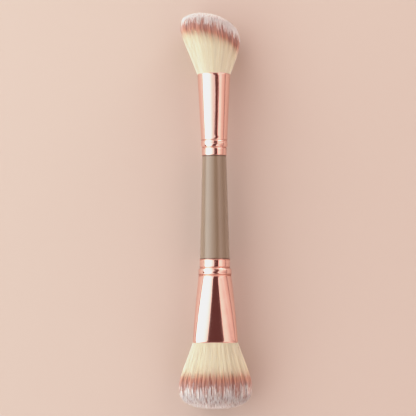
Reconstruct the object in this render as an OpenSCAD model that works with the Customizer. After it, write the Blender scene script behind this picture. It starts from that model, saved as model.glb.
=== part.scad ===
// Double-ended face brush, lying flat on a table as it comes to rest.
// +Y runs along the brush towards the angled head, +Z is up, and the origin
// is on the table under the middle of the brush. All sizes are millimetres.
//
// One turned handle carries a pressed metal ferrule at each end. Each
// ferrule is slid over a spigot of the handle, rolled with a bead and two
// crimp grooves that bite into the spigot, and holds a tuft of fibres whose
// roots are set in a plug of cast glue.

/* [Handle] */
// Length of the handle that shows between the two ferrules
handle_l = 48.8; // [35:0.1:90]
// Radius of the handle where it meets the angled head's ferrule
handle_r_slim = 5.72; // [5.3:0.01:5.8]
// Radius of the handle where it meets the powder head's ferrule
handle_r_thick = 7.05; // [6.6:0.01:7.1]
// Length of each spigot inside its ferrule
spigot_l = 13; // [9:0.5:16]

/* [Ferrules] */
// Thickness of the pressed metal
wall = 0.35; // [0.3:0.01:0.45]
// Outer radius of the angled head's ferrule where it grips the handle
slim_r_collar = 5.9; // [5.85:0.01:6]
// Outer radius of the angled head's ferrule at its mouth
slim_r_mouth = 7.8; // [7.2:0.1:9]
// Length of the angled head's ferrule
slim_l = 38.4; // [34:0.1:50]
// Outer radius of the powder head's ferrule where it grips the handle
wide_r_collar = 7.2; // [7.15:0.01:7.3]
// Half of the powder ferrule's mouth, from side to side
wide_a_mouth = 10.6; // [9.5:0.1:12]
// Half of the powder ferrule's mouth, from front to back, after it is pinched flat
wide_b_mouth = 5.0; // [4.5:0.1:7]
// Length of the powder head's ferrule
wide_l = 39.1; // [35:0.1:50]
// Distance from the handle to the middle of the angled ferrule's rolled bead
slim_bead_at = 5.3; // [5:0.1:6]
// Distance from the handle to the middle of the powder ferrule's rolled bead
wide_bead_at = 5.7; // [5.5:0.1:5.8]
// Depth of the crimp grooves beside each bead
groove_depth = 0.2; // [0.1:0.05:0.25]

/* [Both heads] */
// Half of each head's greatest depth, front to back: alike, so the brush lies level
head_b = 12.0; // [10:0.1:13]

/* [Powder head] */
// How far the powder head stands out of its ferrule
powder_l = 31.1; // [26:0.1:40]
// Half of the powder head's greatest width, from side to side
powder_a = 17.1; // [14:0.1:20]
// Distance from the ferrule to the powder head's widest place
powder_wide_at = 21; // [18:0.5:23]
// How square the powder head's dome is: 2 is an ellipse
powder_square = 2.6; // [2:0.1:3.2]

/* [Angled head] */
// How far the angled head stands out of its ferrule
angled_l = 28.6; // [24:0.1:36]
// Reach of the long side from the brush's axis
angled_long = 16; // [13:0.1:18]
// Distance from the ferrule to the long side's widest place
angled_long_at = 22.8; // [20:0.1:23.5]
// Reach of the short side from the brush's axis
angled_short = 12.5; // [10:0.1:14]
// Distance from the ferrule to the short side's widest place
angled_short_at = 15.5; // [12:0.1:18]
// Distance from the ferrule to the angled head's deepest place
angled_deep_at = 20; // [16:0.5:22]
// How far the peak stands off the brush's axis, towards the long side
angled_peak = 6; // [4:0.1:8]

/* [Glue] */
// Length of each plug of glue behind the fibres' roots
glue_l = 8; // [5:0.5:9]
// Room between bonded faces
bond = 0.03; // [0.02:0.01:0.05]

/* [Hidden] */

$fn = 96;
around = 48;              // sides of the lofted tufts
ferrule_around = 64;      // sides of the pinched ferrule
flat_spot = 0.12;         // how far the fibres give way under the brush's own weight
axis_h = head_b - flat_spot;
total_l = angled_l + slim_l + handle_l + wide_l + powder_l;
y_mid = total_l / 2 - angled_l - slim_l;   // where handle and angled ferrule meet
slim_bead_r = 3.8;        // radius of the bead's arc on the angled head's ferrule
wide_bead_r = 2.9;        // and on the powder head's
groove_r = 0.45;          // radius of each groove's arc
wide_groove_r = 0.8;      // the same for the powder ferrule's wider groove, beside its flare
groove_gap = 1.75;        // from the bead's middle to each groove
flare_from = 8.4;         // from the handle to where each ferrule starts to flare
lip = 0.15;               // how far each mouth's rim is turned in
lip_l = 0.6;              // length of that rim
eps = 0.01;

// Local +Z becomes +Y (towards the angled head) or -Y (towards the powder head)
module towards_angled(at) translate([0, at, axis_h]) rotate([-90, 0, 0]) children();
module towards_powder(at) translate([0, at, axis_h]) rotate([90, 0, 0]) children();

// ---- profiles of the round parts, as half sections: x is the radius -------

// The bead's arc, kept to its own stretch around at
module bead_arc(r_top, r_arc, grow, at) {
    intersection() {
        translate([r_top - r_arc, at]) circle(r_arc + grow);
        translate([r_top - 1.2, at - groove_gap]) square([2.4, 2 * groove_gap]);
    }
}

// One crimp groove of radius r_arc cut into a wall of radius r, open above
module groove(r, r_arc, grow, at) {
    translate([r + r_arc - groove_depth, at]) {
        circle(r_arc + grow);
        translate([0, -r_arc - grow]) square([1, 2 * (r_arc + grow)]);
    }
}

// Solid half section of a ferrule's grip, thinner by inset all over; at is the middle of its bead
// and second the radius of the groove beside the flare
module grip_section(r_collar, r_top, r_flare, r_bead, at, second, l, inset) {
    difference() {
        union() {
            translate([0, -eps]) square([r_collar - inset, at + eps]);
            translate([0, at - 0.5]) square([r_flare - inset, l - at + 0.5]);
            bead_arc(r_top, r_bead, -inset, at);
        }
        groove(r_collar, groove_r, inset, at - groove_gap);
        groove(r_flare, second, inset, at + groove_gap);
    }
}

// ---- handle ---------------------------------------------------------------

// One spigot, from the shoulder at z = 0, grooved where the ferrule is rolled into it
module spigot(r_collar, at) {
    gap = wall + bond;
    rotate_extrude() difference() {
        union() {
            translate([0, -1]) square([r_collar - gap, spigot_l + 1 - 0.6]);
            polygon([[0, spigot_l - 0.7], [r_collar - gap, spigot_l - 0.7],
                     [r_collar - gap - 0.6, spigot_l], [0, spigot_l]]);
        }
        translate([r_collar + groove_r - groove_depth, at - groove_gap])
            circle(groove_r + gap);
    }
}

module handle() {
    color([0.62, 0.53, 0.43]) {
        towards_powder(y_mid) rotate_extrude() polygon([
            [0, 0], [handle_r_slim - 0.25, 0], [handle_r_slim - 0.07, 0.07],
            [handle_r_slim, 0.25], [handle_r_thick, handle_l - 0.25],
            [handle_r_thick - 0.07, handle_l - 0.07],
            [handle_r_thick - 0.25, handle_l], [0, handle_l]]);
        towards_angled(y_mid) spigot(slim_r_collar, slim_bead_at);
        towards_powder(y_mid - handle_l) spigot(wide_r_collar, wide_bead_at);
    }
}

// ---- angled head's ferrule: round all the way, so every bore is true -------

slim_r_top = slim_r_collar + 0.43;      // top of the bead
slim_r_flare = slim_r_collar + 0.35;    // start of the flare

// Outer radius of the slim ferrule at a distance u from the handle
function slim_r(u) = slim_r_flare
    + (slim_r_mouth - slim_r_flare) * (u - flare_from) / (slim_l - flare_from);

module slim_section(inset) {
    grip_section(slim_r_collar, slim_r_top, slim_r_flare, slim_bead_r, slim_bead_at, groove_r,
                 flare_from + eps, inset);
    polygon([[0, flare_from], [slim_r_flare - inset, flare_from],
             [slim_r(slim_l - lip_l) - inset, slim_l - lip_l],
             [slim_r(slim_l) - lip * 0.35 - inset, slim_l - lip_l * 0.35],
             [slim_r(slim_l) - lip - inset, slim_l],
             [0, slim_l]]);
}

module angled_ferrule() {
    color([0.86, 0.58, 0.49])
        towards_angled(y_mid) rotate_extrude() difference() {
            slim_section(0);
            slim_section(wall);
            translate([-1, -1]) square([slim_r_collar - wall + 1, 2]);
            translate([-1, slim_l - 1]) square([slim_r(slim_l) - lip - wall + 1, 2]);
        }
}

// ---- powder head's ferrule: round at the grip, pinched flat at the mouth ---

wide_r_top = wide_r_collar + 0.7;
wide_r_flare = wide_r_collar + 0.62;

// Share of the flare at a distance u from the handle
function wide_q(u) = max(0, min(1, (u - flare_from) / (wide_l - flare_from)));
// Half width and half depth there
function wide_a(u) = wide_r_flare
    + (wide_a_mouth - wide_r_flare) * (1.3 * wide_q(u) - 0.3 * pow(wide_q(u), 2));
function wide_b(u) = wide_r_flare + (wide_b_mouth - wide_r_flare) * wide_q(u);
// How square the section is: a true circle at the grip
function wide_n(u) = 2 + 0.25 * wide_q(u);
// The rim is turned in over its last stretch
function rim(u) = u > wide_l - lip_l
    ? lip * pow((u - wide_l + lip_l) / lip_l, 2) : 0;

// A point of a rounded oval at angle f, with half sizes a and b
function oval(a, b, n, f) = [
    a * sign(cos(f)) * pow(abs(cos(f)), 2 / n),
    b * sign(sin(f)) * pow(abs(sin(f)), 2 / n)];

// One ring of points across the wide ferrule, thinner by inset
function wide_ring(u, inset) = [for (k = [0 : ferrule_around - 1])
    let (p = oval(wide_a(u) - inset - rim(u), wide_b(u) - inset - rim(u),
                  wide_n(u), 360 * k / ferrule_around)) [p[0], p[1], u]];

// A closed skin over rings that all have n points, with flat ends
module skin(rings) {
    n = len(rings[0]);
    m = len(rings);
    pts = [for (r = rings) for (p = r) p];
    sides = [for (i = [0 : m - 2]) for (k = [0 : n - 1])
        let (a = i * n + k, b = i * n + (k + 1) % n) each [[a, a + n, b + n], [a, b + n, b]]];
    polyhedron(points = pts,
               faces = concat([[for (k = [0 : n - 1]) k]], sides,
                              [[for (k = [n - 1 : -1 : 0]) (m - 1) * n + k]]));
}

// Places along the flare, as shares of its length: closer together at the rim
wide_shares = [0.02, 0.1, 0.2, 0.3, 0.4, 0.5, 0.6, 0.7, 0.8, 0.9, 0.97];
wide_stations = concat([for (q = wide_shares) flare_from + q * (wide_l - flare_from)],
                       [wide_l - 0.6 * lip_l, wide_l - 0.3 * lip_l, wide_l]);
// The flare starts as a tongue inside the grip's wall, where the two are joined
tongue_at = flare_from - 0.35;
tongue = 0.1;

module powder_ferrule() {
    color([0.86, 0.58, 0.49])
        towards_powder(y_mid - handle_l) {
            // the grip, with true round walls
            rotate_extrude() difference() {
                grip_section(wide_r_collar, wide_r_top, wide_r_flare, wide_bead_r, wide_bead_at,
                             wide_groove_r, flare_from, 0);
                grip_section(wide_r_collar, wide_r_top, wide_r_flare, wide_bead_r, wide_bead_at,
                             wide_groove_r, flare_from + 1, wall);
                translate([-1, -1]) square([wide_r_collar - wall + 1, 2]);
            }
            // the flare, pinched to an oval
            difference() {
                skin(concat([wide_ring(tongue_at, tongue)],
                            [for (u = wide_stations) wide_ring(u, 0)]));
                skin(concat([for (u = [tongue_at - 0.5, tongue_at]) wide_ring(u, wall - tongue)],
                            [for (u = wide_stations) wide_ring(u, wall)],
                            [[for (p = wide_ring(wide_l, wall)) [p[0], p[1], wide_l + 0.5]]]));
            }
        }
}

// ---- tufts ------------------------------------------------------------------

// Fan of the fibres: 0 at the mouth and 1 at the widest place, level there
function fan(q, lead, sharp) = lead * q - (lead - 1) * pow(q, sharp);
// Dome over the widest place: 1 at its foot and 0 at its peak
function dome(q, n) = pow(max(0, 1 - pow(max(0, min(1, q)), n)), 1 / n);

// Powder head: half width and half depth at a distance s out of the ferrule
powder_a0 = wide_a_mouth - 0.2;
powder_b0 = wide_b_mouth - 0.2;
function powder_half(s, at_mouth, widest) = s <= powder_wide_at
    ? at_mouth + (widest - at_mouth) * fan(s / powder_wide_at, 1.2, 6)
    : widest * dome((s - powder_wide_at) / (powder_l - powder_wide_at), powder_square);
function powder_ring(s) = [for (k = [0 : around - 1])
    let (a = powder_half(s, powder_a0, powder_a), b = powder_half(s, powder_b0, head_b))
    [a * cos(360 * k / around), b * sin(360 * k / around), wide_l + s]];

// The part of the tuft that is held inside the ferrule
function powder_root_ring(u, inset) = [for (k = [0 : around - 1])
    let (p = oval(wide_a(u) - inset, wide_b(u) - inset, wide_n(u), 360 * k / around))
    [p[0], p[1], u]];

root_inset = wall + lip + bond;
powder_root_at = spigot_l + bond + glue_l;
powder_stations = [1.2, 4, 7, 10, 13, 16, 18.5, 21, 23, 25, 26.6, 28, 29.1, 30, 30.6, 31];
function powder_at(s) = s <= 21 ? s * powder_wide_at / 21
    : powder_wide_at + (s - 21) * (powder_l - powder_wide_at) / 10.1;

module powder_bristles() {
    color([0.93, 0.85, 0.72]) intersection() {
        towards_powder(y_mid - handle_l) skin(concat(
            [for (q = [0, 0.33, 0.66, 1])
                powder_root_ring(powder_root_at + q * (wide_l - powder_root_at), root_inset)],
            [for (s = powder_stations) powder_ring(powder_at(s))]));
        // the fibres lie a little flat where they touch the table
        translate([-50, -200, 0]) cube([100, 400, 60]);
    }
}

// Angled head: reach to each side at a distance t out of the ferrule
angled_r0 = slim_r_mouth - 0.05;
function angled_left(t) = t <= angled_long_at
    ? angled_r0 + (angled_long - angled_r0) * fan(t / angled_long_at, 1.1, 10)
    : angled_peak + (angled_long - angled_peak)
        * dome((t - angled_long_at) / (angled_l - angled_long_at), 2.2);
function angled_right(t) = t <= angled_short_at
    ? angled_r0 + (angled_short - angled_r0) * fan(t / angled_short_at, 1.25, 5)
    : (angled_short + angled_peak)
        * dome((t - angled_short_at) / (angled_l - angled_short_at), 2) - angled_peak;
function angled_deep(t) = t <= angled_deep_at
    ? angled_r0 + (head_b - angled_r0) * fan(t / angled_deep_at, 1.3, 4)
    : head_b * dome((t - angled_deep_at) / (angled_l - angled_deep_at), 2.6);
function angled_ring(t) = [for (k = [0 : around - 1])
    let (l = angled_left(t), r = angled_right(t), b = angled_deep(t))
    [(r - l) / 2 + (r + l) / 2 * cos(360 * k / around),
     b * sin(360 * k / around), slim_l + t]];
function round_ring(r, u) = [for (k = [0 : around - 1])
    [r * cos(360 * k / around), r * sin(360 * k / around), u]];

angled_root_at = spigot_l + bond + glue_l;
angled_stations = [0.8, 3, 6, 9, 12, 14, 16, 18, 20, 21.6, 22.8, 24, 25.2, 26.3, 27.2, 27.9, 28.3, 28.55];

module angled_bristles() {
    color([0.93, 0.85, 0.72]) intersection() {
        towards_angled(y_mid) skin(concat(
            [for (q = [0, 1])
                round_ring(slim_r(angled_root_at + q * (slim_l - angled_root_at))
                           - root_inset,
                           angled_root_at + q * (slim_l - angled_root_at))],
            [for (t = angled_stations) angled_ring(t * angled_l / 28.6)]));
        translate([-50, -200, 0]) cube([100, 400, 60]);
    }
}

// ---- glue that holds the roots ------------------------------------------------

module angled_glue_plug() {
    u0 = angled_root_at - glue_l;
    u1 = angled_root_at;
    color([0.85, 0.78, 0.62])
        towards_angled(y_mid) rotate_extrude() polygon([
            [0, u0], [slim_r(u0) - wall - bond, u0], [slim_r(u1) - wall - bond, u1], [0, u1]]);
}

module powder_glue_plug() {
    u0 = powder_root_at - glue_l;
    color([0.85, 0.78, 0.62])
        towards_powder(y_mid - handle_l) skin([for (q = [0, 0.5, 1])
            wide_ring(u0 + q * glue_l, wall + bond)]);
}

handle();
angled_ferrule();
powder_ferrule();
angled_bristles();
powder_bristles();
angled_glue_plug();
powder_glue_plug();
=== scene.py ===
"""Looks for the double-ended makeup brush: polished ferrules, satin handle and two tufts of separate fibres."""
import math

import bmesh
import bpy
import numpy as np
from mathutils import Matrix, Vector


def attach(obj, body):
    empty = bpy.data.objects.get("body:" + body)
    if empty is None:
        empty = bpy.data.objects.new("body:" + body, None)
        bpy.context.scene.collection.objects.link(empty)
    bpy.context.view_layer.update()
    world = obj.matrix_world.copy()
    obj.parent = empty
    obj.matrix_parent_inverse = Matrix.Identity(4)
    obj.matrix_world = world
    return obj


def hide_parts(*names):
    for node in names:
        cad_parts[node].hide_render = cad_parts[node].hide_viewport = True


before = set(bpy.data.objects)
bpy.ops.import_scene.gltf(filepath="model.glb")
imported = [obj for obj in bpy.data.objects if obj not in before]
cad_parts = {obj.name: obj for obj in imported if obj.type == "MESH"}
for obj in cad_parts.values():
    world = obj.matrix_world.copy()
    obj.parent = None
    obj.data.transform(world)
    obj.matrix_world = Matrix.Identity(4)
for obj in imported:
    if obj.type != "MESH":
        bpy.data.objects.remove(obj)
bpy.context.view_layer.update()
scene = bpy.context.scene
MM = 0.001

# ---------------------------------------------------------------- sizes, as in the CAD (mm)
AXIS_H = 11.88
HEAD_B = 12.0
SLIM_MOUTH_Y = 64.4          # where the angled head leaves its ferrule
SLIM_GRIP_Y = 26.0           # where that ferrule meets the handle
WIDE_GRIP_Y = -22.8
WIDE_MOUTH_Y = -61.9
SPIGOT_L = 13.0
WALL, LIP, LIP_L, BOND = 0.35, 0.15, 0.6, 0.03
GROOVE_R, GROOVE_GAP, GROOVE_DEPTH = 0.45, 1.75, 0.2
FLARE_FROM = 8.4
SLIM = dict(l=38.4, collar=5.9, top=6.33, flare=6.25, a=7.8, b=7.8, bead=3.8, at=5.3, second=0.45)
WIDE = dict(l=39.1, collar=7.2, top=7.9, flare=7.82, a=10.6, b=5.0, bead=2.9, at=5.7, second=0.8)


# ---------------------------------------------------------------- mesh helpers
def new_object(name, verts, loops, totals, uv=None, smooth=True, normals=None):
    """A mesh object from flat arrays; verts in mm."""
    me = bpy.data.meshes.new(name)
    verts = np.ascontiguousarray(np.asarray(verts, np.float32).reshape(-1, 3) * MM)
    loops = np.asarray(loops, np.int32).ravel()
    totals = np.asarray(totals, np.int32).ravel()
    me.vertices.add(len(verts))
    me.vertices.foreach_set("co", verts.ravel())
    me.loops.add(len(loops))
    me.loops.foreach_set("vertex_index", loops)
    me.polygons.add(len(totals))
    starts = np.concatenate([[0], np.cumsum(totals)[:-1]]).astype(np.int32)
    me.polygons.foreach_set("loop_start", starts)
    me.polygons.foreach_set("use_smooth", np.full(len(totals), smooth))
    if uv is not None:
        layer = me.uv_layers.new(name="OFBake")
        layer.data.foreach_set("uv", np.asarray(uv, np.float32).ravel())
    me.update(calc_edges=True)
    me.validate()
    if normals is not None:
        me.normals_split_custom_set_from_vertices(np.asarray(normals, float).reshape(-1, 3).tolist())
    ob = bpy.data.objects.new(name, me)
    scene.collection.objects.link(ob)
    return ob


def outward(ob):
    bm = bmesh.new()
    bm.from_mesh(ob.data)
    bmesh.ops.recalc_face_normals(bm, faces=bm.faces)
    bm.to_mesh(ob.data)
    bm.free()
    return ob


def loft(name, rings, closed_along=False):
    """Quads over rings (m, n, 3); capped unless the rings close on themselves."""
    rings = np.asarray(rings, float)
    m, n, _ = rings.shape
    i = np.arange(m if closed_along else m - 1)[:, None]
    k = np.arange(n)[None, :]
    j, k2 = (i + 1) % m, (k + 1) % n
    quads = np.stack([i * n + k, i * n + k2, j * n + k2, j * n + k], -1).reshape(-1)
    totals = [4] * (len(quads) // 4)
    loops = list(quads)
    if not closed_along:
        loops += list(range(n - 1, -1, -1)) + list(range((m - 1) * n, m * n))
        totals += [n, n]
    return outward(new_object(name, rings, loops, totals))


def blurred(y, sigma, step):
    """y smoothed by a bell curve, both in the same units as step."""
    half = int(3 * sigma / step) + 1
    k = np.exp(-0.5 * (np.arange(-half, half + 1) * step / sigma) ** 2)
    k /= k.sum()
    return np.convolve(np.pad(y, half, mode="edge"), k, mode="valid")


# ---------------------------------------------------------------- ferrules
def grip_profile(f):
    """Outer radius of a ferrule over its grip, with the rolled bead and its two grooves."""
    step = 0.02
    u = np.arange(0, FLARE_FROM + 1.5 + step / 2, step)
    at = f["at"]
    r = np.where(u < at, f["collar"], f["flare"])
    d = np.clip(1 - ((u - at) / f["bead"]) ** 2, 0, None)
    bead = f["top"] - f["bead"] + f["bead"] * np.sqrt(d)
    r = np.where(np.abs(u - at) < GROOVE_GAP, np.maximum(r, bead), r)
    for mid, base, arc in ((at - GROOVE_GAP, f["collar"], GROOVE_R),
                           (at + GROOVE_GAP, f["flare"], f["second"])):
        d = arc**2 - (u - mid) ** 2
        cut = base + arc - GROOVE_DEPTH - np.sqrt(np.clip(d, 0, None))
        r = np.where(d > 0, np.minimum(r, cut), r)
    r[u < 0.12] -= 0.05
    r = blurred(r, 0.05, step)
    keep = np.unique(np.concatenate([
        np.arange(0, len(u), 40),
        *(np.arange(max(0, int((c - w) / step)), min(len(u), int((c + w) / step)), e)
          for c, w, e in ((0.1, 0.3, 4), (at, 2.5, 5),
                          (at - GROOVE_GAP, 0.75, 3), (at + GROOVE_GAP, 0.75, 3)))]))
    keep = keep[u[keep] <= FLARE_FROM]
    return u[keep], r[keep]


def ferrule_section(f, u, inset, around, wide):
    """Ring of points across a ferrule at u from the handle: x to the side, z up, relative to the axis."""
    q = np.clip((u - FLARE_FROM) / (f["l"] - FLARE_FROM), 0, 1)
    ease = 1.3 * q - 0.3 * q * q if wide else q
    a = f["flare"] + (f["a"] - f["flare"]) * ease
    b = f["flare"] + (f["b"] - f["flare"]) * q
    rim = LIP * max(0.0, (u - f["l"] + LIP_L) / LIP_L) ** 2
    n = 2 + (0.25 * q if wide else 0)
    th = np.linspace(0, 2 * np.pi, around, endpoint=False)
    c, s = np.cos(th), np.sin(th)
    x = (a - inset - rim) * np.sign(c) * np.abs(c) ** (2 / n)
    z = (b - inset - rim) * np.sign(s) * np.abs(s) ** (2 / n)
    return x, z


def ferrule(name, f, grip_y, way, wide, around=128):
    us, rs = grip_profile(f)
    rings = []

    def add(u, x, z):
        rings.append(np.stack([x, np.full(around, grip_y + way * u), z + AXIS_H], -1))

    th = np.linspace(0, 2 * np.pi, around, endpoint=False)
    for u, r in zip(us, rs):
        add(u, r * np.cos(th), r * np.sin(th))
    flare = np.concatenate([np.linspace(FLARE_FROM + 0.5, f["l"] - 1.2, 34),
                            f["l"] - LIP_L * np.array([1.0, 0.75, 0.5, 0.3, 0.15, 0.0])])
    for u in flare:
        add(u, *ferrule_section(f, u, 0, around, wide))
    # the cut edge of the metal, rounded, then the inside
    for du, inset in ((0.05, 0.09), (0.07, WALL / 2), (0.05, WALL - 0.09)):
        add(f["l"] + du, *ferrule_section(f, f["l"], inset, around, wide))
    for u in (f["l"], f["l"] - 0.5, f["l"] - 2, f["l"] - 8, 24.0, 16.0, FLARE_FROM + 0.3):
        add(u, *ferrule_section(f, u, WALL, around, wide))
    for u, r in list(zip(us, rs))[::-6]:
        r = min(r, f["flare"] if u > f["at"] else f["collar"]) - WALL
        add(u, r * np.cos(th), r * np.sin(th))
    add(0.0, (f["collar"] - WALL) * np.cos(th), (f["collar"] - WALL) * np.sin(th))
    return loft(name, rings, closed_along=True)


angled_ferrule = ferrule("angled_ferrule_polished", SLIM, SLIM_GRIP_Y, 1, False)
powder_ferrule = ferrule("powder_ferrule_polished", WIDE, WIDE_GRIP_Y, -1, True)


# ---------------------------------------------------------------- handle
def handle_rings(around=112):
    gap = WALL + BOND
    rs, rw = SLIM["collar"] - gap, WIDE["collar"] - gap
    profile = [(SLIM_GRIP_Y + SPIGOT_L, 0.6), (SLIM_GRIP_Y + SPIGOT_L, rs - 0.62),
               (SLIM_GRIP_Y + SPIGOT_L - 0.65, rs)]
    for du, cut in ((0.8, 0), (0.45, 0.25), (0, 0.58), (-0.45, 0.25), (-0.8, 0)):
        profile.append((SLIM_GRIP_Y + SLIM["at"] - GROOVE_GAP + du, rs - cut * 0.9))
    profile += [(SLIM_GRIP_Y + 0.02, rs), (SLIM_GRIP_Y, rs + 0.02)]
    # the lacquered body: rounded shoulders and a straight taper
    r0, r1 = 5.72, 7.05
    for a in np.linspace(0, 90, 7):
        c, s = math.cos(math.radians(a)), math.sin(math.radians(a))
        profile.append((SLIM_GRIP_Y - 0.25 * (1 - c), r0 - 0.25 * (1 - s)))
    for q in np.linspace(0.02, 0.98, 34):
        profile.append((SLIM_GRIP_Y - q * 48.8, r0 + (r1 - r0) * q))
    for a in np.linspace(90, 0, 7):
        c, s = math.cos(math.radians(a)), math.sin(math.radians(a))
        profile.append((WIDE_GRIP_Y + 0.25 * (1 - c), r1 - 0.25 * (1 - s)))
    profile += [(WIDE_GRIP_Y, rw + 0.02), (WIDE_GRIP_Y - 0.02, rw)]
    for du, cut in ((-0.8, 0), (-0.45, 0.25), (0, 0.58), (0.45, 0.25), (0.8, 0)):
        profile.append((WIDE_GRIP_Y - WIDE["at"] + GROOVE_GAP - du, rw - cut * 0.9))
    profile += [(WIDE_GRIP_Y - SPIGOT_L + 0.65, rw), (WIDE_GRIP_Y - SPIGOT_L, rw - 0.62),
                (WIDE_GRIP_Y - SPIGOT_L, 0.6)]
    th = np.linspace(0, 2 * np.pi, around, endpoint=False)
    return [np.stack([r * np.cos(th), np.full(around, y), r * np.sin(th) + AXIS_H], -1)
            for y, r in profile]


handle = loft("handle_lacquered", handle_rings())


# ---------------------------------------------------------------- tufts
def fan(q, lead, sharp):
    return lead * q - (lead - 1) * np.clip(q, 0, None) ** sharp


def dome(q, n):
    return np.clip(1 - np.clip(q, 0, 1) ** n, 0, None) ** (1 / n)


class Powder:
    """The powder head's form, t mm out of its ferrule."""
    name, way, mouth_y = "powder", -1, WIDE_MOUTH_Y
    length, widest, a0, b0, a1 = 31.1, 21.0, 10.4, 4.8, 17.1
    mouth_a, mouth_b = 10.02, 4.42
    bend_from, bend_power, shrink, proud, pull_from = 18.5, 2.4, 0.96, 0.1, 14.0
    fore, rim = 0.3, 0.9
    # how dark the dyed band is, from lock to lock: its contrast and what is added, from the left to the right; this
    # change from side to side is painted shade on top of the dye's own streaks
    mid, contrast, darker = 7.5, (0.5, 0.6, 1.0, 1.0), (-0.8, -0.6, 0.3, -1.0)

    def left_line(self, t):
        q = np.clip(t / self.widest, 0, 1)
        return self.a0 + (self.a1 - self.a0) * fan(q, 1.2, 6)

    right_line = left_line

    def deep_line(self, t):
        q = np.clip(t / self.widest, 0, 1)
        return self.b0 + (HEAD_B - self.b0) * fan(q, 1.2, 6)

    def outline(self, t):
        d = dome((t - self.widest) / (self.length - self.widest), 2.6)
        return self.left_line(t) * d, self.right_line(t) * d, self.deep_line(t) * d


class Angled:
    """The angled head's form."""
    name, way, mouth_y = "angled", 1, SLIM_MOUTH_Y
    length, a0 = 28.6, 7.75
    mouth_a, mouth_b = 7.22, 7.22
    bend_power, shrink, proud, pull_from = 2.2, 0.90, 0.45, 11.0
    fore, rim = 0.25, 0.5
    # painted shade: the dyed band's streaks grow stronger and darker towards the right side
    mid, contrast, darker = 7.5, (0.8, 0.9, 1.2, 1.3), (0.0, 0.3, 1.0, 1.5)
    bend_from = None

    def left_line(self, t):
        return self.a0 + (16 - self.a0) * fan(np.clip(t / 22.8, 0, 1), 1.1, 10)

    def right_line(self, t):
        return self.a0 + (12.5 - self.a0) * fan(np.clip(t / 15.5, 0, 1), 1.25, 5)

    def deep_line(self, t):
        return self.a0 + (HEAD_B - self.a0) * fan(np.clip(t / 20, 0, 1), 1.3, 4)

    def outline(self, t):
        left = np.where(t <= 22.8, self.left_line(t), 6 + 10 * dome((t - 22.8) / 5.8, 2.2))
        right = np.where(t <= 15.5, self.right_line(t), 18.5 * dome((t - 15.5) / 13.1, 2) - 6)
        deep = self.deep_line(t) * dome((t - 20) / 8.6, 2.6)
        return left, right, deep


def fan_point(head, u, v, t):
    """Where a fibre of place (u, v) in the unit disc would be at t, if it never curled in."""
    l, r, b = head.left_line(t), head.right_line(t), head.deep_line(t)
    inside = np.exp(-np.clip(t, 0, None) / 1.2)      # close to the rim it is still held together
    l = l - (head.a0 - head.mouth_a) * inside
    r = r - (head.a0 - head.mouth_a) * inside
    b = b - (getattr(head, "b0", head.a0) - head.mouth_b) * inside
    return (r - l) / 2 + u * (r + l) / 2, v * b


def tips(head, u, v):
    """How far out each fibre reaches before it meets the trimmed surface."""
    lo = np.full(len(u), 6.0)
    hi = np.full(len(u), head.length - 1e-3)
    for _ in range(34):
        t = (lo + hi) / 2
        x, z = fan_point(head, u * head.shrink, v * head.shrink, t)
        l, r, b = head.outline(t)
        c, w = (r - l) / 2, np.maximum((r + l) / 2, 1e-3)
        out = ((x - c) / w) ** 2 + (z / np.maximum(b, 1e-3)) ** 2 > 1
        hi = np.where(out, t, hi)
        lo = np.where(out, lo, t)
    return (lo + hi) / 2


def facing(head, x, z, t):
    """Outward direction of the tuft's form at a point: across x, along t and up z."""
    t = np.minimum(t, head.length - 0.45)

    def f(x, z, t):
        l, r, b = head.outline(t)
        w = np.maximum((r + l) / 2, 0.6)
        return ((x - (r - l) / 2) / w) ** 2 + (z / np.maximum(b, 0.6)) ** 2
    h = 0.15
    g = np.stack([f(x + h, z, t) - f(x - h, z, t), f(x, z, t + h) - f(x, z, t - h),
                  f(x, z + h, t) - f(x, z - h, t)], -1)
    return g / np.maximum(np.linalg.norm(g, axis=-1, keepdims=True), 1e-9)


def clump_centres(head, spacing, rng):
    """Dart throwing over the unit disc, spaced as seen on the real, flat head."""
    sx, sy = (17.1, HEAD_B) if head.name == "powder" else (13.8, HEAD_B)
    found = np.zeros((0, 2))
    tries = rng.uniform(-1.04, 1.04, (9000, 2))
    tries = tries[(tries**2).sum(1) < 1.06]
    out = []
    for p in tries:
        if not out or (((np.array(out) - p) * (sx, sy)) ** 2).sum(1).min() > spacing**2:
            out.append(p)
    return np.array(out)


U_SPAN = 36.0     # mm of fibre over the width of the colour map
ROWS = 256        # rows of the colour map, one per shade of fibre
GROUP = 16        # rows that share how dark their band is


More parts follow.
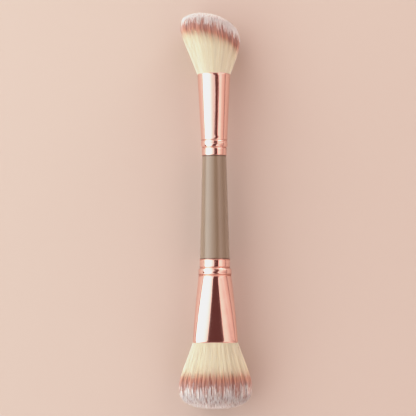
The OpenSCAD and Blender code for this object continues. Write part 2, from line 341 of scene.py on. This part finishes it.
def fibres(head, u, v, rng, dists, radii, centres, pull, root_t, loose=0.0, fly=0.0, form_shading=0.65):
    """Closed three-sided fibres. dists are the rings' distances from the tip; the first None is the root."""
    n = len(u)
    t_tip = tips(head, u, v)
    # tufts of fibres lean to a common point
    d2 = ((u[:, None] - centres[None, :, 0]) ** 2 * 3.2
          + (v[:, None] - centres[None, :, 1]) ** 2)
    near = d2.argmin(1)
    crng = np.random.RandomState(77)
    c_len = crng.normal(0, 0.10, len(centres))
    c_lean = crng.normal(0, 0.02, (len(centres), 2))
    c_pull = pull * crng.uniform(0.7, 1.15, len(centres))
    c_band = crng.normal(0, 0.12, len(centres))
    cu, cv = centres[near, 0] + c_lean[near, 0], centres[near, 1] + c_lean[near, 1]
    t_end = t_tip - np.abs(rng.normal(0, 0.36, n)) + np.clip(c_len[near], -0.5, 0.35) + head.proud
    t_end += (rng.uniform(0, 1, n) < fly) * rng.uniform(0.3, 0.9, n)
    wave = rng.normal(0, 1, (n, 4))
    bend0 = head.bend_from if head.bend_from is not None else None
    rings = []
    for d in dists:
        t = np.full(n, root_t) if d is None else t_end - d
        t = np.maximum(t, root_t)
        start = t_tip - 7.5 if bend0 is None else np.full(n, bend0)
        q = np.clip((t - start) / np.maximum(t_tip - start, 1), 0, 1.1)
        k = 1 - (1 - head.shrink) * q**head.bend_power
        # pull towards the clump over the last stretch
        g = np.clip(1 - (t_end - t) / head.pull_from, 0, 1) ** 1.3 * c_pull[near]
        lu, lv = u + (cu - u) * g, v + (cv - v) * g
        x, z = fan_point(head, lu * k, lv * k, t)
        along = np.clip((t - 2) / 18, 0, 1)
        amp = (0.10 + loose) * along
        x = x + amp * (wave[:, 0] * np.sin(t * 0.23 + wave[:, 1]))
        z = z + amp * (wave[:, 2] * np.sin(t * 0.21 + wave[:, 3]))
        rings.append(np.stack([x, t, z], -1))
    centre = np.stack(rings, 1)                       # n, J, 3
    J = len(dists)
    turn = rng.uniform(0, 2 * np.pi, n)
    a = turn[:, None] + np.array([0, 2, 4])[None, :] * np.pi / 3
    off = np.stack([np.cos(a), np.zeros_like(a), np.sin(a)], -1)   # n, 3, 3
    thick = rng.uniform(0.8, 1.2, n)
    body = centre[:, :-1, None, :] + off[:, None, :, :] * (
        np.array(radii)[None, :, None, None] * thick[:, None, None, None])
    verts = np.concatenate([body.reshape(n, -1, 3), centre[:, -1:, :]], 1)   # n, 3(J-1)+1, 3
    # shading leans from each fibre's own roundness to the tuft's form
    form = facing(head, verts[..., 0], verts[..., 2], verts[..., 1])
    own = np.concatenate([np.repeat(off[:, None], J - 1, 1).reshape(n, -1, 3),
                          form[:, -1:]], 1)
    form[..., 1] *= head.fore + (head.rim - head.fore) * np.abs(form[..., 1]) ** 6
    normal = own * (1 - form_shading) + form * form_shading
    normal /= np.maximum(np.linalg.norm(normal, axis=-1, keepdims=True), 1e-9)
    normal = np.stack([normal[..., 0], head.way * normal[..., 1], normal[..., 2]], -1)
    # to the row frame, and no lower than the table
    out = np.empty_like(verts)
    out[..., 0] = verts[..., 0]
    out[..., 1] = head.mouth_y + head.way * verts[..., 1]
    out[..., 2] = verts[..., 2] + AXIS_H
    floor = 0.02 + 0.1 * rng.uniform(0, 1, n)[:, None]
    out[..., 2] = np.maximum(out[..., 2], floor)
    per = verts.shape[1]
    quads, tris = [], []
    for j in range(J - 2):
        for s in range(3):
            s2 = (s + 1) % 3
            quads.append([3 * j + s, 3 * j + s2, 3 * j + 3 + s2, 3 * j + 3 + s])
    top = 3 * (J - 2)
    for s in range(3):
        tris.append([top + s, top + (s + 1) % 3, per - 1])
    tris.append([2, 1, 0])
    if head.way > 0:
        quads = [q[::-1] for q in quads]
        tris = [q[::-1] for q in tris]
    base = np.arange(n)[:, None] * per
    ql = (base + np.array(quads).reshape(1, -1)).reshape(n, -1)
    tl = (base + np.array(tris).reshape(1, -1)).reshape(n, -1)
    loops = np.concatenate([ql, tl], 1)
    totals = np.tile([4] * len(quads) + [3] * len(tris), n)
    # colour map: along it is the distance from the trimmed end, across it the fibre's shade
    dist = np.concatenate(
        [np.repeat(t_tip[:, None] - centre[:, :-1, 1], 3, axis=1), t_tip[:, None] - centre[:, -1:, 1]], 1)
    deeper = np.clip((0.93 - np.sqrt(u**2 + v**2)) / 0.12, 0, 1) * 1.2
    dist = dist - band_shift(head, u)[:, None] + (c_band[near] + deeper + rng.normal(0, 0.3, n))[:, None]
    U = np.clip(dist / U_SPAN, 0.002, 0.998)
    # fibres that stand together share a group of rows, in streaks almost a millimetre wide, and most of them share
    # one row of the group, in strands about a third of a millimetre wide
    wide = 17.1 if head.name == "powder" else 13.8
    depth = 1 - np.sqrt(u**2 + v**2)

    def place(width, high, layers, count):
        layer = np.floor(depth * layers)
        x = np.floor((u * wide + rng.normal(0, 0.04, n) + 40) / width + layer * 0.37)
        z = np.floor((v * HEAD_B + 40) / high)
        mixed = np.sin(x * 12.9898 + z * 78.233 + layer * 37.719) * 43758.5453
        return ((mixed - np.floor(mixed)) * count).astype(int)

    fine = place(0.32, 0.7, 8, GROUP)
    fine = np.where(rng.uniform(0, 1, n) < 0.45, rng.randint(0, GROUP, n), fine)
    group = place(0.7, 1.5, 5, ROWS // GROUP)
    # painted shade: the band's streaks are set stronger or weaker and lighter or darker from the left side to the right
    side = [-1, -0.3, 0.2, 1]
    group = head.mid + (group - head.mid) * np.interp(u, side, head.contrast) + np.interp(u, side, head.darker)
    group = np.clip(np.rint(group), 0, GROUP - 1)
    row = group.astype(int) * GROUP + fine
    third = {0: 0.15, 1: 0.5, 2: 0.85}
    across = np.array([third[i % 3] for i in range(per - 1)] + [0.5])
    V = (row[:, None] + across[None, :]) / ROWS
    flat = loops.ravel()
    uv = np.stack([U.ravel()[flat], V.ravel()[flat]], -1)
    return out, loops, totals, uv, normal


def band_shift(head, u):
    """The dyed band lies closer to the tips on the angled head's long side."""
    if head.name == "powder":
        return np.zeros(len(u))
    return np.interp(u, [-1, -0.2, 0.5, 1], [-1.7, -2.0, -1.2, 1.3])


def disc(n, lo, hi, rng):
    rho = np.sqrt(rng.uniform(lo**2, hi**2, n))
    th = rng.uniform(0, 2 * np.pi, n)
    return rho * np.cos(th), rho * np.sin(th)


def core(head, rng, around=96):
    """What fills the tuft behind its outer fibres, so that no light comes through."""
    th = np.linspace(0, 2 * np.pi, around, endpoint=False)
    k = 0.84
    u, v = k * np.cos(th), k * np.sin(th)
    t_tip = tips(head, u, v)
    t_mid = tips(head, np.zeros(1), np.zeros(1))[0]
    rings, dist = [], []
    for t in (-1.2, 1.5, 5, 9, 12.5):
        x, z = fan_point(head, u, v, np.full(around, float(t)))
        rings.append(np.stack([x, np.full(around, t), z], -1))
        dist.append(t_tip - t)
    for f in (1.0, 0.93, 0.82, 0.66, 0.45, 0.22, 0.05):
        uu, vv = u * f, v * f
        tt = tips(head, uu, vv) - 4.0
        x, z = fan_point(head, uu * 0.97, vv * 0.97, tt)
        rings.append(np.stack([x, tt, z], -1))
        dist.append(np.full(around, 4.0))
    rings, dist = np.array(rings), np.array(dist)
    m = len(rings)
    out = np.stack([rings[..., 0], head.mouth_y + head.way * rings[..., 1], rings[..., 2] + AXIS_H], -1)
    i, kk = np.arange(m - 1)[:, None], np.arange(around)[None, :]
    k2 = (kk + 1) % around
    quads = np.stack([i * around + kk, i * around + k2, (i + 1) * around + k2, (i + 1) * around + kk], -1)
    if head.way > 0:
        quads = quads[..., ::-1]
    U = np.clip((dist - band_shift(head, np.cos(th))[None, :]) / U_SPAN, 0.002, 0.998)
    V = (np.tile(np.arange(around), (m, 1)) + 0.5) / (around + 2)
    V2 = V + 0.9 / (around + 2)
    uv = np.stack([
        np.stack([U[:-1], V[:-1]], -1),
        np.stack([np.roll(U, -1, 1)[:-1], V2[:-1]], -1),
        np.stack([np.roll(U, -1, 1)[1:], V2[1:]], -1),
        np.stack([U[1:], V[1:]], -1)], 2)
    if head.way > 0:
        uv = uv[..., ::-1, :]
    loops = list(quads.reshape(-1))
    totals = [4] * (len(loops) // 4)
    caps = [list(range(around)), list(range(m * around - 1, (m - 1) * around - 1, -1))]
    if head.way < 0:
        caps = [c[::-1] for c in caps]
    uv = [*uv.reshape(-1, 2)]
    for c in caps:
        loops += c
        totals.append(around)
        uv += [[U.ravel()[j], 0.5 + 0.4 / ROWS * math.sin(j)] for j in c]
    normal = facing(head, rings[..., 0], rings[..., 2], rings[..., 1])
    normal = np.stack([normal[..., 0], head.way * normal[..., 1], normal[..., 2]], -1)
    return out.reshape(-1, 3), np.array(loops), np.array(totals), np.array(uv), normal


def joined(name, parts):
    """One object from several (verts, loops, totals, uv, normals)."""
    vs, ls, ts, us, ns, at = [], [], [], [], [], 0
    for v, l, t, u, nn in parts:
        v = np.asarray(v).reshape(-1, 3)
        vs.append(v)
        ls.append(np.asarray(l).ravel() + at)
        ts.append(np.asarray(t).ravel())
        us.append(np.asarray(u).reshape(-1, 2))
        ns.append(np.asarray(nn).reshape(-1, 3))
        at += len(v)
    return new_object(name, np.concatenate(vs), np.concatenate(ls), np.concatenate(ts), np.concatenate(us),
                      normals=np.concatenate(ns))


SHARE = 1.0
OUTER_D = [None, 14.0, 9.5, 6.0, 2.8, 0.9, 0.0]
OUTER_R = [0.070, 0.080, 0.085, 0.085, 0.075, 0.05]
INNER_D = [11.5, 6.0, 1.8, 0.0]
INNER_R = [0.085, 0.085, 0.06]

tufts = []
for head, seed in ((Powder(), 11), (Angled(), 23)):
    rng = np.random.RandomState(seed)
    centres = clump_centres(head, 0.65, rng)
    firm = 0.42
    for part, count, lo, hi, pull in (("outer", 3600, 0.93, 1.0, 0.45 * firm), ("under", 4200, 0.80, 0.94, 0.45 * firm)):
        u, v = disc(int(count * SHARE), lo, hi, rng)
        loose, fly = (0.02, 0.04) if part == "outer" else (0.0, 0.0)
        got = [fibres(head, u, v, rng, OUTER_D, OUTER_R, centres, pull, -1.3, loose, fly)]
        tufts.append((head, joined(f"{head.name}_fibres_{part}", got)))
    u, v = disc(int(10000 * SHARE), 0.0, 0.86, rng)
    got = [fibres(head, u, v, rng, INNER_D, INNER_R, centres, 0.35 * firm, -1.0), core(head, rng)]
    tufts.append((head, joined(f"{head.name}_fibres_inner", got)))


# ---------------------------------------------------------------- materials
def material(name):
    mat = bpy.data.materials.new(name)
    mat.use_nodes = True
    nt = mat.node_tree
    return mat, nt, nt.nodes["Principled BSDF"]


def node(nt, kind, **inputs):
    n = nt.nodes.new(kind)
    for key, value in inputs.items():
        setattr(n, key, value)
    return n


def ramp(nt, stops, interpolation="LINEAR"):
    r = nt.nodes.new("ShaderNodeValToRGB")
    r.color_ramp.interpolation = interpolation
    e = r.color_ramp.elements
    while len(e) > 1:
        e.remove(e[-1])
    e[0].position, e[0].color = stops[0][0], (*stops[0][1], 1)
    for at, colour in stops[1:]:
        x = e.new(at)
        x.color = (*colour, 1)
    return r


def maths(nt, operation, a, b=None, clamp=False):
    m = nt.nodes.new("ShaderNodeMath")
    m.operation = operation
    m.use_clamp = clamp
    for i, x in enumerate((a, b)):
        if x is None:
            continue
        if isinstance(x, (int, float)):
            m.inputs[i].default_value = x
        else:
            nt.links.new(x, m.inputs[i])
    return m.outputs[0]


def fibre_material(name, cream, rust, rust_dark, white, painted_tip_white, dyed, soft, reach, even, runs_as, sheen):
    """Colour bands along each fibre, read from the map OFBake: U is the distance from the tip over U_SPAN, V the shade.
    dyed gives where the rust starts and where it begins to fade into cream; in some strands it runs on up to
    reach mm towards the tips, evenly spread when even is 1, in the colour found runs_as mm into the band."""
    mat, nt, bsdf = material(name)
    uv = node(nt, "ShaderNodeUVMap", uv_map="OFBake")
    sep = node(nt, "ShaderNodeSeparateXYZ")
    nt.links.new(uv.outputs[0], sep.inputs[0])
    d = maths(nt, "MULTIPLY", sep.outputs[0], U_SPAN)
    row = maths(nt, "FLOOR", maths(nt, "MULTIPLY", sep.outputs[1], float(ROWS)))

    def by_row(offset, of=row):
        n = node(nt, "ShaderNodeTexWhiteNoise", noise_dimensions="1D")
        nt.links.new(maths(nt, "ADD", of, offset), n.inputs["W"])
        return n.outputs["Value"]

    lo, hi = dyed
    # the band lies a little sooner or later from strand to strand
    shift = maths(nt, "MULTIPLY", maths(nt, "SUBTRACT", by_row(3.3), 0.5), 2 * soft)
    d1 = maths(nt, "ADD", d, shift)
    # and in some strands the dye runs on towards the tips
    run = maths(nt, "MULTIPLY", maths(nt, "POWER", by_row(57.9), even), reach)
    ran = maths(nt, "MINIMUM", maths(nt, "ADD", d1, run), lo + runs_as)
    along = maths(nt, "DIVIDE", maths(nt, "MAXIMUM", d1, ran), 36.0)
    shades = []
    for dark in (1.0, 0.33):
        red = tuple(c * k for c, k in zip(rust, (dark ** 0.7, dark, dark)))
        deep = tuple(c * dark ** 0.4 for c in rust_dark)
        fading = [((hi + at) / 36, tuple(share * c + (1 - share) * k for c, k in zip(cream, red)))
                  for at, share in ((0.0, 0.0), (0.7, 0.08), (1.6, 0.28), (2.7, 0.54), (3.7, 0.74), (5.0, 0.88), (7.5, 1.0))]
        # the white fades to painted_tip_white at the very tips: painted light on the angled head, painted shade on the
        # powder head
        r = ramp(nt, [(0.0, painted_tip_white), ((lo - 2.4) / 36, white), ((lo - 0.6) / 36, white), ((lo + 0.3) / 36, deep),
                      ((lo + 1.6) / 36, red), *fading, (1.0, tuple(c * 0.97 for c in cream))])
        nt.links.new(along, r.inputs[0])
        shades.append(r.outputs[0])
    mix = node(nt, "ShaderNodeMix", data_type="RGBA")
    group = maths(nt, "FLOOR", maths(nt, "DIVIDE", row, float(GROUP)))
    streak = maths(nt, "MULTIPLY", maths(nt, "SUBTRACT", maths(nt, "DIVIDE", group, 15.0), 0.36), 3.5, clamp=True)
    streak = maths(nt, "ADD", maths(nt, "MULTIPLY", streak, 0.8), maths(nt, "MULTIPLY", by_row(511.1), 0.2))
    nt.links.new(streak, mix.inputs["Factor"])
    nt.links.new(shades[0], mix.inputs[6])
    nt.links.new(shades[1], mix.inputs[7])
    # lighter and darker strands
    hsv = node(nt, "ShaderNodeHueSaturation")
    nt.links.new(mix.outputs[2], hsv.inputs["Color"])
    nt.links.new(maths(nt, "ADD", maths(nt, "MULTIPLY", by_row(311.7), 0.11), 0.93), hsv.inputs["Value"])
    nt.links.new(maths(nt, "ADD", maths(nt, "MULTIPLY", by_row(907.3), 0.14), 0.93), hsv.inputs["Saturation"])
    nt.links.new(hsv.outputs[0], bsdf.inputs["Base Color"])
    bsdf.inputs["Roughness"].default_value = 0.5
    bsdf.inputs["Specular IOR Level"].default_value = 0.35
    bsdf.inputs["Sheen Weight"].default_value = sheen
    bsdf.inputs["Sheen Roughness"].default_value = 0.5
    bsdf.inputs["Subsurface Weight"].default_value = 0.6
    bsdf.inputs["Subsurface Radius"].default_value = (1.0, 0.8, 0.65)
    bsdf.inputs["Subsurface Scale"].default_value = 0.0004
    return mat


CREAM = (0.97, 0.82, 0.54)
RUST = (0.70, 0.285, 0.20)
RUST_DARK = (0.56, 0.275, 0.24)
WHITE = (0.95, 0.825, 0.785)
# painted light: the angled fibres' very tips are a shade lighter than their white
WHITE_TIP_PAINTED_LIGHT = (0.955, 0.835, 0.795)
# painted shade: the powder fibres' very tips are a shade darker than their white
powder_mat = fibre_material("powder_fibres", CREAM, (0.70, 0.31, 0.22), RUST_DARK, (0.985, 0.87, 0.835), (0.97, 0.855, 0.82),
                            (6.3, 8.7), 0.9, 8.0, 1.5, 0.5, 0.1)
angled_mat = fibre_material("angled_fibres", CREAM, RUST, RUST_DARK, WHITE, WHITE_TIP_PAINTED_LIGHT, (5.8, 7.6), 0.5, 4.2, 1.1, 0.9, 0.3)



def near_to(nt, y, places, soft):
    """The strength within the half width of any of the places (y, half width, strength), in mm along the brush, and 0
    elsewhere."""
    out = None
    for at, half, strength in places:
        away = maths(nt, "ABSOLUTE", maths(nt, "SUBTRACT", y, at))
        one = maths(nt, "DIVIDE", maths(nt, "SUBTRACT", half + soft / 2, away), soft, clamp=True)
        one = maths(nt, "MULTIPLY", one, strength)
        out = one if out is None else maths(nt, "MAXIMUM", out, one)
    return out


# polished rose gold, rougher in the grooves, on the cut edges and at the joints, where its colour is also darkened as
# painted shade
metal, nt, bsdf = material("rose_gold_polished")
bsdf.inputs["Metallic"].default_value = 1.0
bsdf.inputs["Base Color"].default_value = (0.95, 0.62, 0.50, 1)
co = node(nt, "ShaderNodeTexCoord")
stretch = node(nt, "ShaderNodeMapping")
stretch.inputs["Scale"].default_value = (60, 4000, 60)
nt.links.new(co.outputs["Object"], stretch.inputs[0])
lines = node(nt, "ShaderNodeTexNoise")
lines.inputs["Scale"].default_value = 1.0
lines.inputs["Detail"].default_value = 3.0
nt.links.new(stretch.outputs[0], lines.inputs["Vector"])
wear = node(nt, "ShaderNodeTexNoise")
wear.inputs["Scale"].default_value = 220.0
wear.inputs["Detail"].default_value = 4.0
nt.links.new(co.outputs["Object"], wear.inputs["Vector"])
rough = maths(nt, "ADD", maths(nt, "MULTIPLY", lines.outputs["Fac"], 0.05),
              maths(nt, "MULTIPLY", wear.outputs["Fac"], 0.07))
sep = node(nt, "ShaderNodeSeparateXYZ")
nt.links.new(co.outputs["Object"], sep.inputs[0])
# the grooves, cut edges and joints: rougher there, and darker there as painted shade
dull_and_shaded = near_to(nt, maths(nt, "DIVIDE", sep.outputs[1], MM), [
    (SLIM_GRIP_Y, 0.1, 1.0), (SLIM_GRIP_Y + SLIM["at"] - GROOVE_GAP, 0.32, 0.8),
    (SLIM_GRIP_Y + SLIM["at"] + GROOVE_GAP, 0.32, 0.8), (SLIM_GRIP_Y + SLIM["l"] + 0.05, 0.3, 0.9),
    (WIDE_GRIP_Y, 0.4, 1.0), (WIDE_GRIP_Y - WIDE["at"] + GROOVE_GAP, 0.42, 0.85),
    (WIDE_GRIP_Y - WIDE["at"] - GROOVE_GAP, 0.62, 1.0), (WIDE_GRIP_Y - WIDE["l"] - 0.05, 0.3, 0.9)], 0.25)
rough = maths(nt, "ADD", rough, maths(nt, "MULTIPLY", dull_and_shaded, 0.3))
nt.links.new(maths(nt, "ADD", rough, 0.045), bsdf.inputs["Roughness"])
tint = ramp(nt, [(0.3, (0.94, 0.61, 0.54)), (0.7, (0.96, 0.64, 0.57))])
nt.links.new(wear.outputs["Fac"], tint.inputs[0])
# painted shade: the darker tint laid into the grooves, onto the cut edges and at the joints
dark = ramp(nt, [(0.3, (0.53, 0.25, 0.20)), (0.7, (0.57, 0.28, 0.225))])
nt.links.new(wear.outputs["Fac"], dark.inputs[0])
tone = node(nt, "ShaderNodeMix")
tone.data_type = "RGBA"
nt.links.new(dull_and_shaded, tone.inputs[0])
nt.links.new(tint.outputs[0], tone.inputs[6])
nt.links.new(dark.outputs[0], tone.inputs[7])
nt.links.new(tone.outputs[2], bsdf.inputs["Base Color"])
dents = node(nt, "ShaderNodeTexNoise")
dents.inputs["Scale"].default_value = 90.0
dents.inputs["Detail"].default_value = 1.0
nt.links.new(co.outputs["Object"], dents.inputs["Vector"])
bump = node(nt, "ShaderNodeBump")
bump.inputs["Strength"].default_value = 0.25
bump.inputs["Distance"].default_value = 0.00006
nt.links.new(dents.outputs["Fac"], bump.inputs["Height"])
bump2 = node(nt, "ShaderNodeBump")
bump2.inputs["Strength"].default_value = 0.15
bump2.inputs["Distance"].default_value = 0.000004
nt.links.new(lines.outputs["Fac"], bump2.inputs["Height"])
nt.links.new(bump.outputs[0], bump2.inputs["Normal"])
nt.links.new(bump2.outputs[0], bsdf.inputs["Normal"])

# satin taupe lacquer
lacquer, nt, bsdf = material("taupe_lacquer")
co = node(nt, "ShaderNodeTexCoord")
cloud = node(nt, "ShaderNodeTexNoise")
cloud.inputs["Scale"].default_value = 70.0
cloud.inputs["Detail"].default_value = 3.0
nt.links.new(co.outputs["Object"], cloud.inputs["Vector"])
tone = ramp(nt, [(0.3, (0.196, 0.141, 0.096)), (0.7, (0.206, 0.149, 0.102))])
nt.links.new(cloud.outputs["Fac"], tone.inputs[0])
# a darker line where it meets the two ferrules: painted shade
sep = node(nt, "ShaderNodeSeparateXYZ")
nt.links.new(co.outputs["Object"], sep.inputs[0])
seam_painted_shade = near_to(nt, maths(nt, "DIVIDE", sep.outputs[1], MM), [(SLIM_GRIP_Y, 0.6, 1.0), (WIDE_GRIP_Y, 0.45, 1.0)], 0.5)
seam_shade_mix = node(nt, "ShaderNodeMix")
seam_shade_mix.data_type = "RGBA"
seam_shade_mix.inputs[7].default_value = (0.10, 0.05, 0.032, 1)
nt.links.new(seam_painted_shade, seam_shade_mix.inputs[0])
nt.links.new(tone.outputs[0], seam_shade_mix.inputs[6])
nt.links.new(seam_shade_mix.outputs[2], bsdf.inputs["Base Color"])
speck = node(nt, "ShaderNodeTexNoise")
speck.inputs["Scale"].default_value = 2600.0
speck.inputs["Detail"].default_value = 2.0
nt.links.new(co.outputs["Object"], speck.inputs["Vector"])
nt.links.new(maths(nt, "ADD", maths(nt, "MULTIPLY", speck.outputs["Fac"], 0.1), 0.17), bsdf.inputs["Roughness"])
bump = node(nt, "ShaderNodeBump")
bump.inputs["Strength"].default_value = 0.2
bump.inputs["Distance"].default_value = 0.00001
nt.links.new(speck.outputs["Fac"], bump.inputs["Height"])
nt.links.new(bump.outputs[0], bsdf.inputs["Normal"])
bsdf.inputs["Specular IOR Level"].default_value = 0.55
bsdf.inputs["Coat Weight"].default_value = 1.0
bsdf.inputs["Coat Roughness"].default_value = 0.14

# cast glue
glue, nt, bsdf = material("cast_glue")
co = node(nt, "ShaderNodeTexCoord")
cloud = node(nt, "ShaderNodeTexNoise")
cloud.inputs["Scale"].default_value = 400.0
nt.links.new(co.outputs["Object"], cloud.inputs["Vector"])
tone = ramp(nt, [(0.3, (0.62, 0.5, 0.3)), (0.7, (0.74, 0.62, 0.4))])
nt.links.new(cloud.outputs["Fac"], tone.inputs[0])
nt.links.new(tone.outputs[0], bsdf.inputs["Base Color"])
bsdf.inputs["Roughness"].default_value = 0.35

# ---------------------------------------------------------------- pieces to the frame
for ob, mat, nodes_, slot in (
        (handle, lacquer, ["handle"], "handle"),
        (angled_ferrule, metal, ["angled_ferrule"], "ferrule"),
        (powder_ferrule, metal, ["powder_ferrule"], "ferrule")):
    ob.data.materials.append(mat)
    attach(ob, "root")
    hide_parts(*nodes_)
for head, ob in tufts:
    ob.data.materials.append(powder_mat if head.name == "powder" else angled_mat)
    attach(ob, "root")
    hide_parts(f"{head.name}_bristles")
for name in ("angled_glue_plug", "powder_glue_plug"):
    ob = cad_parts[name]
    ob.data.materials.clear()
    ob.data.materials.append(glue)

# ---------------------------------------------------------------- table
floor = new_object("table_top", [(-3000, -3000, 0), (3000, -3000, 0), (3000, 3000, 0), (-3000, 3000, 0)],
                   [0, 1, 2, 3], [4], smooth=False)
plain, nt, bsdf = material("plain_table")
co = node(nt, "ShaderNodeTexCoord")
cloud = node(nt, "ShaderNodeTexNoise")
cloud.inputs["Scale"].default_value = 3.0
nt.links.new(co.outputs["Object"], cloud.inputs["Vector"])
tone = ramp(nt, [(0.3, (0.530, 0.436, 0.388)), (0.7, (0.540, 0.445, 0.397))])
nt.links.new(cloud.outputs["Fac"], tone.inputs[0])
nt.links.new(tone.outputs[0], bsdf.inputs["Base Color"])
bsdf.inputs["Roughness"].default_value = 0.5
bsdf.inputs["Specular IOR Level"].default_value = 0.45
floor.data.materials.append(plain)


# ---------------------------------------------------------------- light
def card(name, y0, y1, near, far, stops, scale):
    """A big curved sheet of diffuser a metre off, lit from behind, from y0 to y1 and from the angle near(y) to
    far(y), counted from straight up towards +X. stops give its light by that angle."""
    n_y, n_a = 17, 49
    verts = []
    for y in np.linspace(y0, y1, n_y):
        for a in np.radians(np.linspace(near(y), far(y), n_a)):
            verts.append((1000 * math.sin(a), 1000 * y, 1000 * math.cos(a) + AXIS_H))
    i, k = np.arange(n_y - 1)[:, None], np.arange(n_a - 1)[None, :]
    quads = np.stack([i * n_a + k, i * n_a + k + 1, (i + 1) * n_a + k + 1, (i + 1) * n_a + k], -1)
    ob = new_object(name, verts, quads.ravel(), [4] * ((n_y - 1) * (n_a - 1)))
    mat = bpy.data.materials.new(name)
    mat.use_nodes = True
    nt = mat.node_tree
    nt.nodes.clear()
    co = node(nt, "ShaderNodeTexCoord")
    sep = node(nt, "ShaderNodeSeparateXYZ")
    nt.links.new(co.outputs["Object"], sep.inputs[0])
    angle = maths(nt, "ARCTAN2", sep.outputs[0], maths(nt, "SUBTRACT", sep.outputs[2], AXIS_H * MM))
    r = ramp(nt, [(math.radians(a + 90) / math.pi, c) for a, c in stops])
    nt.links.new(maths(nt, "DIVIDE", maths(nt, "ADD", angle, math.pi / 2), math.pi), r.inputs[0])
    glow = node(nt, "ShaderNodeEmission")
    glow.inputs["Strength"].default_value = scale
    nt.links.new(r.outputs[0], glow.inputs["Color"])
    out = node(nt, "ShaderNodeOutputMaterial")
    nt.links.new(glow.outputs[0], out.inputs["Surface"])
    ob.data.materials.append(mat)
    ob.visible_camera = False
    ob.visible_shadow = False
    return ob


def bent(points):
    at, angle = zip(*points)
    return lambda y: float(np.interp(y, at, angle))


def steady(angle):
    return lambda y: angle


# beside the brush: bright on the left, pinker on the right, with a dark gap between them overhead
left_edge = bent([(-0.5, -21), (-0.28, -17), (-0.2, -14), (-0.03, -6), (0.015, -4), (0.042, 8), (0.058, 19), (0.076, 24), (0.092, -4)])
right_edge = bent([(-0.5, 14), (-0.28, 18), (-0.2, 20), (-0.03, 26.5), (0.015, 27), (0.042, 35), (0.058, 40), (0.076, 44), (0.092, 27), (0.3, 27)])
card("soft_left", -0.5, 0.3, left_edge, bent([(-0.5, -74), (-0.28, -74), (0.05, -88), (0.3, -88)]), [
    (-89, (0.60, 0.58, 0.56)), (-76, (0.90, 0.89, 0.86)), (-58, (1.0, 1.0, 0.97)), (-34, (0.74, 0.71, 0.68)),
    (-18, (0.48, 0.43, 0.41)), (-4, (0.40, 0.33, 0.31)), (4, (0.46, 0.42, 0.40))], 2.7)
card("soft_right", -0.12, 0.3, right_edge, steady(88), [
    (16, (1.0, 0.66, 0.59)), (28, (1.0, 0.67, 0.60)), (40, (1.0, 0.74, 0.67)), (50, (0.90, 0.69, 0.63)),
    (62, (0.65, 0.47, 0.41)), (75, (0.55, 0.39, 0.335)), (88, (0.37, 0.25, 0.215))], 1.5)
card("soft_right_low", -0.5, -0.12, right_edge, steady(88), [
    (14, (1.0, 0.80, 0.72)), (30, (1.0, 0.80, 0.72)), (40, (0.87, 0.655, 0.585)), (50, (0.63, 0.45, 0.40)),
    (62, (0.50, 0.35, 0.31)), (88, (0.36, 0.25, 0.22))], 1.25)
# further along it on both sides
def beside(lo, hi):
    """The same with the gap between the angles lo and hi."""
    return [(-88, (0.80, 0.78, 0.75)), (-72, (0.90, 0.88, 0.85)), (-62, (0.80, 0.78, 0.75)), (-50, (0.43, 0.41, 0.39)),
            (-35, (0.30, 0.27, 0.25)), (lo - 4, (0.16, 0.12, 0.11)), (lo, (0.05, 0.03, 0.028)), (hi, (0.05, 0.03, 0.028)),
            (hi + 4, (0.18, 0.14, 0.13)), (35, (0.25, 0.20, 0.18)), (50, (0.28, 0.225, 0.205)), (62, (0.30, 0.24, 0.22)),
            (88, (0.30, 0.24, 0.22))]


card("beside_far", 0.3, 0.85, steady(-88), steady(88), beside(-4, 26), 4.7)
card("beside_near", -0.9, -0.5, steady(-88), steady(88), beside(-21, 14), 4.7)
# and towards its two ends
ends = [(-88, (0.90, 0.87, 0.83)), (-60, (0.90, 0.87, 0.83)), (-50, (0.58, 0.55, 0.52)), (-35, (0.40, 0.37, 0.345)),
        (-20, (0.26, 0.22, 0.20)), (0, (0.17, 0.13, 0.12)), (20, (0.26, 0.22, 0.20)), (35, (0.42, 0.36, 0.34)),
        (50, (0.64, 0.58, 0.54)), (60, (0.80, 0.73, 0.69)), (88, (0.80, 0.73, 0.69))]
card("far_end", 0.85, 2.4, steady(-88), steady(88), ends, 8.0)
card("near_end", -2.4, -0.9, steady(-88), steady(88), ends, 4.1)

world = bpy.data.worlds.new("room")
scene.world = world
world.use_nodes = True
bg = world.node_tree.nodes["Background"]
bg.inputs[0].default_value = (1.0, 0.38, 0.36, 1)
bg.inputs[1].default_value = 0.127

# ---------------------------------------------------------------- camera
cam_data = bpy.data.cameras.new("camera")
cam = bpy.data.objects.new("camera", cam_data)
scene.collection.objects.link(cam)
scene.camera = cam
D = 0.893
cam_data.sensor_width = 36.0
cam_data.lens = 36.0 / (416 * 0.47 * MM / D)
aim = Vector((-3.1 * MM, 1.3 * MM, AXIS_H * MM))
eye = Vector((-3.1 * MM, -35 * MM, AXIS_H * MM + D))
z = (eye - aim).normalized()
roll = 0.0056
up = Vector((math.sin(roll), math.cos(roll), 0))
x = up.cross(z).normalized()
y = z.cross(x)
cam.matrix_world = Matrix.Translation(eye) @ Matrix((x, y, z)).transposed().to_4x4()
cam_data.clip_start, cam_data.clip_end = 0.05, 20

scene.view_settings.view_transform = "Standard"
scene.view_settings.look = "None"
scene.view_settings.exposure = 0.01
# highlights roll off softly, as on film
scene.view_settings.use_curve_mapping = True
tones = scene.view_settings.curve_mapping
tones.extend = "HORIZONTAL"
tones.white_level = (4, 4, 4)
curve = tones.curves[3]
curve.points[1].location = (1.0, 0.875)
for at, to in ((0.25, 0.25), (0.5, 0.50), (0.7, 0.695), (0.8, 0.775), (0.9, 0.83), (1.05, 0.857), (1.5, 0.868), (3.0, 0.874)):
    curve.points.new(at / 4, to)
tones.update()
